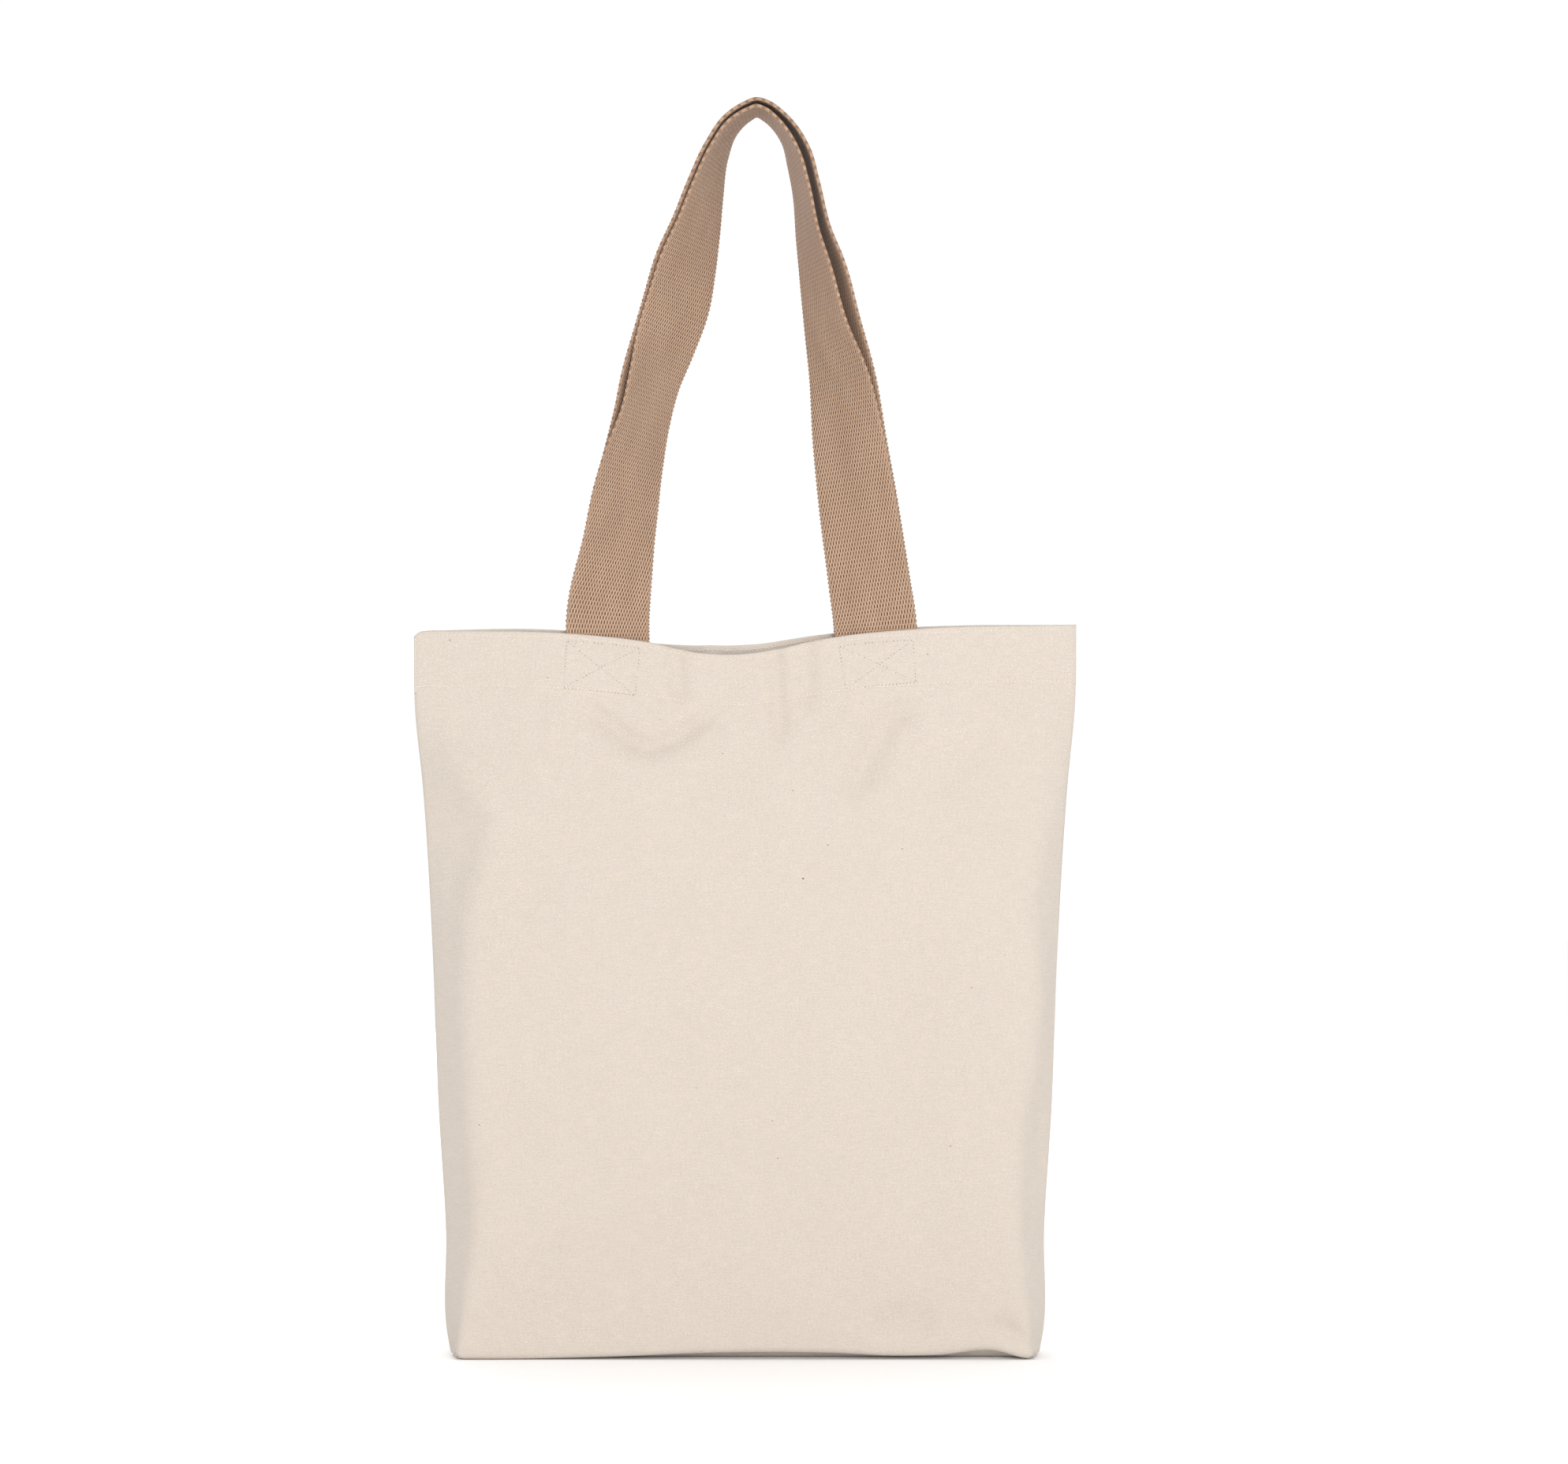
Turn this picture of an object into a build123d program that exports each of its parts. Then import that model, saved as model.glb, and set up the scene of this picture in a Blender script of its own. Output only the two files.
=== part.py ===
from build123d import *
import os
from math import atan2, cos, pi, radians, sin, tan

# Canvas tote bag with two cotton webbing handles, in millimetres.
# The origin is on the floor under the middle of the base, +Z is up and the front faces -Y.
# Three sets of pieces hang together at hinges: the body of the bag, the middle of the front and
# back walls, which lean out to open the mouth, and the two handle loops, which fold over the hem.

os.makedirs("parts", exist_ok=True)

# ---- driving dimensions ------------------------------------------------------------------------
overall_height = 756.0
mouth_height = 437.0
mouth_half_width = 200.0
mouth_half_depth = 9.0
base_half_width = 175.0
base_half_depth = 25.0
canvas = 1.0

wall_half_width = 112.0
side_gap = 0.2
floor_gap = 0.3

hem_depth = 35.0
hem_turn = 2.0
hem_stitch_drop = 33.0
top_stitch_drop = 2.5

webbing_width = 50.0
webbing = 2.0
handle_x = {"left": -82.0, "right": 78.5}
handle_end_depth = 34.0
handle_base_gap = 0.5
handle_hem_gap = 0.3
apex_gap = 2.1
apex_x = 7.0

stitch_box_width = 43.0
stitch_box_height = 31.0
stitch_box_drop = 4.0
thread_width = 0.8
thread_proud = 0.4

seam_allowance = 9.5
seam_thickness = 1.6
bottom_seam_height = 9.0

# ---- the bag's section at each height: height, half depth, fold in the wall, side seam --------------
fold_above_base = 172.0
sections = [
    (canvas, base_half_depth, base_half_width, base_half_width),
    (60.0, 27.0, fold_above_base, 181.0),
    (150.0, 28.0, 165.5, 185.5),
    (290.0, 26.0, 158.0, 191.0),
    (400.0, mouth_half_depth, wall_half_width + 1, mouth_half_width),
    (mouth_height, mouth_half_depth, wall_half_width + 1, mouth_half_width),
]
sides = {"left": -1, "right": 1}
faces = {"front": -1, "back": 1}

hem_bottom = mouth_height - hem_depth
hem_inner_y = mouth_half_depth - canvas - hem_turn
wall_bottom = canvas + floor_gap
seam_half = seam_thickness / 2


def flank_outline(half_depth, fold, seam, inset, thickness, side, face):
    """Closed outline, from above, of one layer of cloth that runs from the wall round the fold
    to the side seam. inset is how far the layer lies inside the bag's outer face."""
    slant = atan2(half_depth - seam_half, seam - fold)
    start = wall_half_width + side_gap

    def corner_points(depth):
        return [
            (start, half_depth - depth),
            (fold - depth * tan(slant / 2), half_depth - depth),
            (seam - depth / sin(slant), seam_half),
        ]

    outline = corner_points(inset) + corner_points(inset + thickness)[::-1]
    return [(side * x, face * y) for x, y in outline]


# ---- base: the two halves of the bottom and the seams inside it ------------------------------------
for face_name, face in faces.items():
    with BuildPart() as base_half:
        with Locations((0, face * base_half_depth / 2, canvas / 2)):
            Box(2 * base_half_width, base_half_depth, canvas)
    base_half.part.label = f"{face_name}_base"
    export_step(base_half.part, f"parts/{face_name}_base.step")

corner_seam_outer = base_half_width - canvas
corner_seam_inner = corner_seam_outer - seam_allowance
with BuildPart() as bottom_seam:
    with Locations((0, 0, canvas + bottom_seam_height / 2)):
        Box(2 * (corner_seam_inner - side_gap), seam_thickness, bottom_seam_height)
bottom_seam.part.label = "bottom_seam"
export_step(bottom_seam.part, "parts/bottom_seam.step")

for side_name, side in sides.items():
    with BuildPart() as corner_seam:
        middle_x = side * (corner_seam_inner + corner_seam_outer) / 2
        with Locations((middle_x, 0, canvas + seam_thickness / 2)):
            Box(seam_allowance, 2 * (base_half_depth - canvas - floor_gap), seam_thickness)
    corner_seam.part.label = f"{side_name}_corner_seam"
    export_step(corner_seam.part, f"parts/{side_name}_corner_seam.step")

# ---- side seams: the two panels' edges, oversewn together inside the bag ----------------------------
for side_name, side in sides.items():
    seam_line = [(seam, height) for height, _, _, seam in sections]
    seam_line[0] = (seam_line[0][0], canvas + seam_thickness)
    inner_line = [(x - seam_allowance, z) for x, z in reversed(seam_line)]
    with BuildPart() as side_seam:
        with BuildSketch(Plane.XZ):
            with BuildLine():
                Polyline(*[(side * x, z) for x, z in seam_line + inner_line], close=True)
            make_face()
        extrude(amount=seam_half, both=True)
    side_seam.part.label = f"{side_name}_side_seam"
    export_step(side_seam.part, f"parts/{side_name}_side_seam.step")

# ---- flanks: the cloth from each wall's edge round to the side seam ---------------------------------
for side_name, side in sides.items():
    for face_name, face in faces.items():
        with BuildPart() as flank:
            for height, half_depth, fold, seam in sections:
                with BuildSketch(Plane.XY.offset(height)):
                    with BuildLine():
                        outline = flank_outline(half_depth, fold, seam, 0, canvas, side, face)
                        Polyline(*outline, close=True)
                    make_face()
            loft(ruled=True)
        flank.part.label = f"{face_name}_{side_name}_flank"
        export_step(flank.part, f"parts/{face_name}_{side_name}_flank.step")

# ---- hem ends: the turned hem carried round each side seam -------------------------------------------
_, mouth_depth_at_hem, mouth_fold, mouth_seam = sections[-1]
for side_name, side in sides.items():
    with BuildPart() as hem_end:
        front_half = flank_outline(
            mouth_depth_at_hem, mouth_fold, mouth_seam, canvas, hem_turn, side, -1
        )
        back_half = [(x, -y) for x, y in reversed(front_half)]
        with BuildSketch(Plane.XY.offset(hem_bottom)):
            with BuildLine():
                Polyline(*(front_half[:3] + back_half[3:] + back_half[:3] + front_half[3:]), close=True)
            make_face()
        extrude(amount=hem_depth)
    hem_end.part.label = f"{side_name}_hem_end"
    export_step(hem_end.part, f"parts/{side_name}_hem_end.step")

# ---- walls: the middle of each panel, which leans out from the base to open the mouth ----------------
wall_line = [(half_depth, height) for height, half_depth, _, _ in sections]
wall_line[0] = (base_half_depth, wall_bottom)
for face_name, face in faces.items():
    inner_line = [(y - canvas, z) for y, z in reversed(wall_line)]
    with BuildPart() as panel:
        with BuildSketch(Plane.YZ):
            with BuildLine():
                Polyline(*[(face * y, z) for y, z in wall_line + inner_line], close=True)
            make_face()
        extrude(amount=wall_half_width - side_gap, both=True)
    panel.part.label = f"{face_name}_panel"
    export_step(panel.part, f"parts/{face_name}_panel.step")

    with BuildPart() as hem:
        hem_middle_y = face * (hem_inner_y + hem_turn / 2)
        with Locations((0, hem_middle_y, mouth_height - hem_depth / 2)):
            Box(2 * (wall_half_width - side_gap), hem_turn, hem_depth)
    hem.part.label = f"{face_name}_hem"
    export_step(hem.part, f"parts/{face_name}_hem.step")

    with BuildPart() as hem_stitching:
        for drop in (top_stitch_drop, hem_stitch_drop):
            row_y = face * (mouth_half_depth + thread_proud / 2)
            with Locations((0, row_y, mouth_height - drop)):
                Box(2 * (handle_x["right"] - webbing_width / 2), thread_proud, thread_width)
    hem_stitching.part.label = f"{face_name}_hem_stitching"
    export_step(hem_stitching.part, f"parts/{face_name}_hem_stitching.step")

# ---- handle ends: the last stretch of each webbing, sewn inside the hem with a crossed box -----------
for face_name, face in faces.items():
    for side_name, middle_x in handle_x.items():
        with BuildPart() as handle_end:
            end_y = face * (hem_inner_y - webbing / 2)
            with Locations((middle_x, end_y, mouth_height - handle_end_depth / 2)):
                Box(webbing_width, webbing, handle_end_depth)
        handle_end.part.label = f"{face_name}_{side_name}_handle_end"
        export_step(handle_end.part, f"parts/{face_name}_{side_name}_handle_end.step")

        box_top = mouth_height - stitch_box_drop
        sewn_face = Plane.XZ.offset(-face * mouth_half_depth)
        diagonal = atan2(stitch_box_height, stitch_box_width)
        diagonal_length = stitch_box_width / cos(diagonal) - 2 * thread_width
        with BuildPart() as box_stitch:
            with BuildSketch(sewn_face):
                with Locations((middle_x, box_top - stitch_box_height / 2)):
                    Rectangle(stitch_box_width, stitch_box_height)
                    Rectangle(
                        stitch_box_width - 2 * thread_width,
                        stitch_box_height - 2 * thread_width,
                        mode=Mode.SUBTRACT,
                    )
                    for turn in (diagonal, -diagonal):
                        Rectangle(diagonal_length, thread_width, rotation=turn * 180 / pi)
            extrude(amount=-face * thread_proud)
        box_stitch.part.label = f"{face_name}_{side_name}_box_stitch"
        export_step(box_stitch.part, f"parts/{face_name}_{side_name}_box_stitch.step")

# ---- handle loops: webbing that turns a quarter from the hem to the top of the loop -----------------
# Both loops follow one middle line, the front one inside it and the back one outside it.
loop_bottom = mouth_height + handle_base_gap
apex_half_gap = (apex_gap + webbing) / 2
apex_height = overall_height - webbing / 2 - apex_half_gap
base_half_gap = hem_inner_y - handle_hem_gap - webbing / 2
stations_per_leg = 16
leg_lean = 0.1
full_turn = 90.0
turn_bulge = 9.0

with BuildLine() as left_leg:
    Spline(
        (handle_x["left"], 0, loop_bottom),
        (-74, 0, 512),
        (-57, 0, 585),
        (-36, 0, 658),
        (-18.5, 0, 722),
        (apex_x, 0, apex_height),
        tangents=((leg_lean, 0, 1), (1, 0, 0)),
    )
with BuildLine() as right_leg:
    Spline(
        (apex_x, 0, apex_height),
        (32.5, 0, 722),
        (43, 0, 664),
        (55, 0, 600),
        (68, 0, 523),
        (handle_x["right"], 0, loop_bottom),
        tangents=((1, 0, 0), (leg_lean, 0, -1)),
    )

# The two end sections lie flat over the hem, whatever the lean of the leg above them.
middle_line = []
for leg in (left_leg.edge(), right_leg.edge()):
    for step in range(stations_per_leg):
        share = step / stations_per_leg
        middle_line.append((leg.position_at(share), leg.tangent_at(share)))
middle_line[0] = (left_leg.edge().position_at(0), Vector(0, 0, 1))
middle_line.append((right_leg.edge().position_at(1), Vector(0, 0, -1)))


def webbing_plane(point, along, offset_side):
    """Plane across the webbing: its x axis runs from the inner selvedge to the outer one."""
    climb = (point.Z - loop_bottom) / (apex_height - loop_bottom)
    turn = radians(full_turn * climb + turn_bulge * sin(pi * climb))
    outward = Vector(-along.Z, 0, along.X)
    across = outward * cos(turn) + Vector(0, -1, 0) * sin(turn)
    face_normal = Vector(0, -1, 0) * cos(turn) - outward * sin(turn)
    half_gap = base_half_gap + (apex_half_gap - base_half_gap) * climb
    return Plane(point + face_normal * half_gap * offset_side, x_dir=across, z_dir=along)


for face_name, face in faces.items():
    with BuildPart() as handle:
        for point, along in middle_line:
            with BuildSketch(webbing_plane(point, along, -face)):
                Rectangle(webbing_width, webbing)
        loft(ruled=True)
    handle.part.label = f"{face_name}_handle"
    export_step(handle.part, f"parts/{face_name}_handle.step")
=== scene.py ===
"""Canvas tote bag with two webbing handles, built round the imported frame.

Shapes are worked out in millimetres, in the frame's axes, and make_mesh turns them into metres.
The cloth of each wall is a grid: columns run from the left side seam to the right one, and rows
from under the base up to the mouth, so a place on the cloth is (across, up) along its surface.
"""

import math

import bmesh
import bpy
import numpy as np
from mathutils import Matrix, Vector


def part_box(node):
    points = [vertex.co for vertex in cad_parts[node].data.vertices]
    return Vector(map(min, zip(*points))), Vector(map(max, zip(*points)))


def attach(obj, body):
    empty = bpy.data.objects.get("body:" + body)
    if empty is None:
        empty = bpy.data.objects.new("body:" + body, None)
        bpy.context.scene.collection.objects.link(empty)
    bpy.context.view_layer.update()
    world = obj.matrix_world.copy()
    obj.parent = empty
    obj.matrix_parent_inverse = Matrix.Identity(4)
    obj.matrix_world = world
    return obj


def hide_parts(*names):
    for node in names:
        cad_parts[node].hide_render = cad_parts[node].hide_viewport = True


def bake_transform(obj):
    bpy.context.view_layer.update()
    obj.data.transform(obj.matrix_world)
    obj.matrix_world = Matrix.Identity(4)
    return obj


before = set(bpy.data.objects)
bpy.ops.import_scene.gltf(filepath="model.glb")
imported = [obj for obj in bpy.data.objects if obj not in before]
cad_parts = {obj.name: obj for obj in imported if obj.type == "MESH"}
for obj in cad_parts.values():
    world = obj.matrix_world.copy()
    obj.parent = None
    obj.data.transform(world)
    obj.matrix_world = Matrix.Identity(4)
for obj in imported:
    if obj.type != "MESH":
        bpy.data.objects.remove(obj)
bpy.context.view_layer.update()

MM = 0.001
SEED = 7


def node_box(node):
    lo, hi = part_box(node)
    return np.array(lo) / MM, np.array(hi) / MM


# ---- sizes read from the frame ---------------------------------------------------------------------
panel_hi = node_box("front_panel")[1]
hem_lo = node_box("front_hem")[0]
flank_lo = node_box("front_left_flank")[0]
left_end_lo, left_end_hi = node_box("front_left_handle_end")
right_end_lo, right_end_hi = node_box("front_right_handle_end")
fin_lo, fin_hi = node_box("bottom_seam")
corner_lo, corner_hi = node_box("right_corner_seam")
side_fin_lo = node_box("right_side_seam")[0]

mouth_height = panel_hi[2]
wall_edge = panel_hi[0]
half_width = -flank_lo[0]
hem_bottom = hem_lo[2]
webbing_width = left_end_hi[0] - left_end_lo[0]
webbing_bottom = left_end_lo[2]
webbing_y = -(left_end_lo[1] + left_end_hi[1]) / 2
left_webbing_x = (left_end_lo[0] + left_end_hi[0]) / 2
right_webbing_x = (right_end_lo[0] + right_end_hi[0]) / 2

# ---- cloth sizes -----------------------------------------------------------------------------------
layer = 0.8
hem_layers = 3
hem_thickness = hem_layers * layer
strap_thickness = 2.1
seam_half_gap = 1.0
base_fillet = 4.0
hem_stitch_row = mouth_height - 33
top_stitch_row = mouth_height - 2.8
hem_stitch_sink = 0.2
top_stitch_sink = 0.5
box_stitch_sink = 0.36


# ---- small tools -----------------------------------------------------------------------------------
def curve(points):
    """Smooth function through (place, value) points, level beyond the first and the last."""
    at, value = np.array(points, float).T
    slope = np.gradient(value, at)

    def read(x):
        x = np.clip(x, at[0], at[-1])
        i = np.clip(np.searchsorted(at, x) - 1, 0, len(at) - 2)
        span = at[i + 1] - at[i]
        t = (x - at[i]) / span
        start_part = (2 * t**3 - 3 * t**2 + 1) * value[i] + (t**3 - 2 * t**2 + t) * span * slope[i]
        end_part = (3 * t**2 - 2 * t**3) * value[i + 1] + (t**3 - t**2) * span * slope[i + 1]
        return start_part + end_part

    return read


def smoothstep(x):
    x = np.clip(x, 0, 1)
    return x * x * (3 - 2 * x)


def unit(v):
    return v / np.maximum(np.linalg.norm(v, axis=-1, keepdims=True), 1e-9)


def waves(x, z, seed, longest, shortest, count=14):
    """Soft seeded unevenness, about 1 high, from a few long and short waves in all directions."""
    draw = np.random.default_rng(seed)
    total = np.zeros(np.broadcast(x, z).shape)
    for _ in range(count):
        length = draw.uniform(shortest, longest)
        turn = draw.uniform(0, math.pi)
        phase = draw.uniform(0, 2 * math.pi)
        along = (np.cos(turn) * x + np.sin(turn) * z) * 2 * math.pi / length
        total += np.sin(along + phase) * length / longest
    return total / math.sqrt(count)


def distance_to_path(x, z, path):
    """Distance from each (x, z) to a line of straight runs, and how far along it, from 0 to 1."""
    path = np.array(path, float)
    lengths = np.linalg.norm(np.diff(path, axis=0), axis=1)
    nearest = np.full(x.shape, np.inf)
    along = np.zeros(x.shape)
    done = 0.0
    for a, b, length in zip(path[:-1], path[1:], lengths):
        t = np.clip(((x - a[0]) * (b[0] - a[0]) + (z - a[1]) * (b[1] - a[1])) / length**2, 0, 1)
        gap = np.hypot(x - a[0] - t * (b[0] - a[0]), z - a[1] - t * (b[1] - a[1]))
        closer = gap < nearest
        along = np.where(closer, (done + t * length) / lengths.sum(), along)
        nearest = np.where(closer, gap, nearest)
        done += length
    return nearest, along


def make_mesh(name, points, faces, material, uv=None):
    """An object from points in millimetres; uv is one pair for each point, in metres of cloth."""
    mesh = bpy.data.meshes.new(name)
    mesh.from_pydata((np.asarray(points) * MM).tolist(), [], faces)
    mesh.polygons.foreach_set("use_smooth", [True] * len(mesh.polygons))
    if uv is not None:
        corners = np.zeros(len(mesh.loops), np.int32)
        mesh.loops.foreach_get("vertex_index", corners)
        places = mesh.uv_layers.new(name="cloth")
        places.data.foreach_set("uv", np.asarray(uv, np.float32)[corners].ravel())
    mesh.materials.append(material)
    obj = bpy.data.objects.new(name, mesh)
    bpy.context.scene.collection.objects.link(obj)
    return obj


def grid_faces(rows, columns, first=0, ring=False, tube=False):
    """Quads of a grid numbered row by row; ring joins the last row to the first, tube the columns."""
    faces = []
    for r in range(rows if ring else rows - 1):
        here = first + r * columns
        there = first + (r + 1) % rows * columns
        for c in range(columns if tube else columns - 1):
            d = (c + 1) % columns
            faces.append((here + c, here + d, there + d, there + c))
    return faces


def weld(obj, distance=0.00002):
    mesh = bmesh.new()
    mesh.from_mesh(obj.data)
    bmesh.ops.remove_doubles(mesh, verts=mesh.verts, dist=distance)
    bmesh.ops.recalc_face_normals(mesh, faces=mesh.faces)
    mesh.to_mesh(obj.data)
    mesh.free()


def join(first, *others):
    with bpy.context.temp_override(
        active_object=first, object=first, selected_editable_objects=[first, *others]
    ):
        bpy.ops.object.join()
    return first


# ---- materials -------------------------------------------------------------------------------------
class Finish:
    """A procedural material on the cloth's own coordinates, with u and v in millimetres."""

    def __init__(self, name):
        self.material = bpy.data.materials.new(name)
        self.material.use_nodes = True
        self.nodes = self.material.node_tree.nodes
        self.links = self.material.node_tree.links
        self.shader = self.nodes["Principled BSDF"]
        places = self.nodes.new("ShaderNodeUVMap")
        places.uv_map = "cloth"
        parts = self.nodes.new("ShaderNodeSeparateXYZ")
        self.links.new(places.outputs[0], parts.inputs[0])
        self.u = self.math("DIVIDE", parts.outputs[0], MM)
        self.v = self.math("DIVIDE", parts.outputs[1], MM)

    def put(self, socket, value):
        if isinstance(value, bpy.types.NodeSocket):
            self.links.new(value, socket)
        else:
            socket.default_value = value

    def math(self, operation, a, b=0.0):
        node = self.nodes.new("ShaderNodeMath")
        node.operation = operation
        self.put(node.inputs[0], a)
        self.put(node.inputs[1], b)
        return node.outputs[0]

    def wave(self, place, period, phase=0.0):
        turns = self.math("ADD", self.math("DIVIDE", place, period), phase)
        return self.math("COSINE", self.math("MULTIPLY", turns, 2 * math.pi))

    def ramp(self, value, low, high):
        """0 up to low and 1 from high, and smooth between them."""
        node = self.nodes.new("ShaderNodeMapRange")
        node.interpolation_type = "SMOOTHSTEP"
        self.put(node.inputs["Value"], value)
        self.put(node.inputs["From Min"], low)
        self.put(node.inputs["From Max"], high)
        return node.outputs["Result"]

    def place(self, u_size, v_size):
        """The cloth's coordinates in steps of u_size and v_size millimetres."""
        node = self.nodes.new("ShaderNodeCombineXYZ")
        self.put(node.inputs[0], self.math("DIVIDE", self.u, u_size))
        self.put(node.inputs[1], self.math("DIVIDE", self.v, v_size))
        return node.outputs[0]

    def noise(self, u_size, v_size, detail=2.0):
        """Soft noise round 0, from about -1 to 1."""
        node = self.nodes.new("ShaderNodeTexNoise")
        self.put(node.inputs["Vector"], self.place(u_size, v_size))
        self.put(node.inputs["Scale"], 1.0)
        self.put(node.inputs["Detail"], detail)
        centred = self.math("SUBTRACT", node.outputs[0], 0.5)
        return self.math("MULTIPLY", centred, 3.0)

    def flecks(self, u_size, v_size, share, size):
        """1 on small specks, in a share of the cells of u_size by v_size."""
        node = self.nodes.new("ShaderNodeTexVoronoi")
        self.put(node.inputs["Vector"], self.place(u_size, v_size))
        self.put(node.inputs["Scale"], 1.0)
        parts = self.nodes.new("ShaderNodeSeparateColor")
        self.links.new(node.outputs["Color"], parts.inputs[0])
        chosen = self.math("LESS_THAN", parts.outputs[0], share)
        near = self.math("SUBTRACT", 1.0, self.ramp(node.outputs["Distance"], size * 0.5, size))
        return self.math("MULTIPLY", chosen, near)

    def total(self, *terms):
        """Sum of value times weight over (value, weight) pairs."""
        result = 0.0
        for value, weight in terms:
            result = self.math("ADD", result, self.math("MULTIPLY", value, weight))
        return result

    def mix(self, share, a, b):
        node = self.nodes.new("ShaderNodeMix")
        node.data_type = "RGBA"
        self.put(node.inputs["Factor"], share)
        self.put(node.inputs["A"], a)
        self.put(node.inputs["B"], b)
        return node.outputs["Result"]

    def bump(self, height, depth, strength=1.0):
        node = self.nodes.new("ShaderNodeBump")
        self.put(node.inputs["Height"], height)
        self.put(node.inputs["Distance"], depth * MM)
        self.put(node.inputs["Strength"], strength)
        self.links.new(node.outputs[0], self.shader.inputs["Normal"])

    def surface(self, color, roughness, sheen):
        self.put(self.shader.inputs["Base Color"], color)
        self.put(self.shader.inputs["Roughness"], roughness)
        self.shader.inputs["Sheen Weight"].default_value = sheen
        self.shader.inputs["Sheen Roughness"].default_value = 0.5
        self.shader.inputs["Specular IOR Level"].default_value = 0.2


def linear(red, green, blue):
    """A colour given from 0 to 255 on a screen, as the shader's linear light."""
    return tuple(((c / 255 + 0.055) / 1.055) ** 2.4 for c in (red, green, blue)) + (1.0,)


canvas_low = (183, 172, 161)
canvas_high = (205, 195, 185)
canvas_warm = (203, 190, 172)
seed_fleck = (140, 120, 104)
dark_fleck = (96, 84, 78)
webbing_low = (150, 121, 99)
webbing_high = (203, 172, 147)
# The colour of the painted shade in the gaps between the webbing's floats.
webbing_gap_shade = (68, 46, 33)


def canvas_finish():
    """Undyed plain weave: fine even threads, uneven weft, warm blotches and seed flecks."""
    f = Finish("natural_canvas")
    warp_thread = 0.585
    weft_thread = 0.96
    weave = f.math("MULTIPLY", f.wave(f.u, 2 * warp_thread), f.wave(f.v, 2 * weft_thread))
    weft = f.noise(9.0, 0.7, detail=1.0)
    warp = f.noise(0.6, 10.0, detail=1.0)
    patches = f.noise(45.0, 60.0)
    warm = f.noise(9.0, 7.0, detail=3.0)
    slub = f.noise(1.6, 1.1, detail=2.0)
    tone = f.total((weave, 0.36), (slub, 0.3), (weft, 0.16), (warp, 0.1), (patches, 0.05), (warm, 0.05))
    cloth = f.mix(f.math("ADD", tone, 0.5), linear(*canvas_low), linear(*canvas_high))
    cloth = f.mix(f.ramp(warm, 0.1, 1.6), cloth, linear(*canvas_warm))
    cloth = f.mix(f.flecks(15.0, 13.0, 0.35, 0.04), cloth, linear(*seed_fleck))
    cloth = f.mix(f.flecks(26.0, 31.0, 0.4, 0.026), cloth, linear(*dark_fleck))
    roughness = f.math("ADD", f.math("MULTIPLY", weave, 0.04), 0.88)
    f.surface(cloth, roughness, 0.1)
    f.bump(f.total((weave, 0.5), (weft, 0.5), (warp, 0.3)), 0.12, 0.6)
    return f.material


def webbing_finish():
    """Cotton webbing: rows of oval floats, with painted shade in the short gap between them and a painted
    highlight on their crowns, each row staggered.
    """
    f = Finish("tan_webbing")
    half_column = 0.88
    row = 2.6
    slant = 0.12
    rows = f.math("DIVIDE", f.v, row)
    from_row = f.math("SUBTRACT", rows, f.math("ROUND", rows))
    leaning = f.math("ADD", f.u, f.math("MULTIPLY", from_row, slant * row))
    float_shape = f.math("MULTIPLY", f.wave(leaning, 2 * half_column), f.wave(f.v, 2 * row))
    # gap marks the recess between floats: its height goes to the bump, and the colour it darkens is painted
    # shade.
    gap = f.ramp(float_shape, 0.0, 0.5)
    # crown lightens the top of each float: a painted highlight.
    crown = f.ramp(f.math("MULTIPLY", float_shape, -1.0), 0.0, 0.8)
    fuzz = f.noise(0.5, 1.8, detail=2.0)
    uneven = f.noise(3.0, 3.5, detail=1.0)
    worn = f.noise(14.0, 40.0)
    from_middle = f.math("ABSOLUTE", f.math("SUBTRACT", f.u, webbing_width))
    selvedge = f.ramp(from_middle, webbing_width / 2 - 2.4, webbing_width / 2 - 1.2)
    edge_ply = f.math("MULTIPLY", f.wave(f.math("ADD", f.v, f.u), row / 2), selvedge)
    gap = f.math("MULTIPLY", gap, f.math("SUBTRACT", 1.0, f.math("MULTIPLY", selvedge, 0.45)))
    crown = f.math("MULTIPLY", crown, f.math("SUBTRACT", 1.0, f.math("MULTIPLY", selvedge, 0.8)))
    # tone mixes the painted crown highlight with the webbing's real unevenness and wear.
    tone = f.total((crown, 0.35), (edge_ply, 0.25), (fuzz, 0.2), (worn, 0.15), (uneven, 0.15))
    light = f.mix(f.math("ADD", tone, 0.3), linear(*webbing_low), linear(*webbing_high))
    # Painted shade: the gaps are darkened towards the dark brown above.
    depth = f.math("MULTIPLY", gap, f.math("ADD", f.math("MULTIPLY", uneven, 0.3), 0.8))
    color = f.mix(depth, light, linear(*webbing_gap_shade))
    f.surface(color, 0.85, 0.1)
    f.bump(f.total((gap, -0.6), (crown, 0.4), (fuzz, 0.1)), 0.4, 0.7)
    return f.material


def thread_finish(name, dark, light):
    """Twisted sewing thread: fine slanting plies, with a painted highlight on their crowns."""
    f = Finish(name)
    slant = f.math("ADD", f.u, f.v)
    ply = f.wave(slant, 0.35)
    uneven = f.noise(1.5, 1.5)
    # The ply wave lightens the colour on each ply's crown: painted highlight.
    f.surface(f.mix(f.math("ADD", f.total((ply, 0.3), (uneven, 0.3)), 0.5), dark, light), 0.7, 0.1)
    f.bump(ply, 0.06, 0.5)
    return f.material


canvas = canvas_finish()
webbing = webbing_finish()
hem_thread = thread_finish("cream_thread", linear(214, 200, 182), linear(240, 230, 216))
box_thread = thread_finish("grey_thread", linear(140, 130, 124), linear(180, 170, 162))
seam_thread = thread_finish("overlock_thread", linear(220, 208, 194), linear(242, 234, 222))


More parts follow.
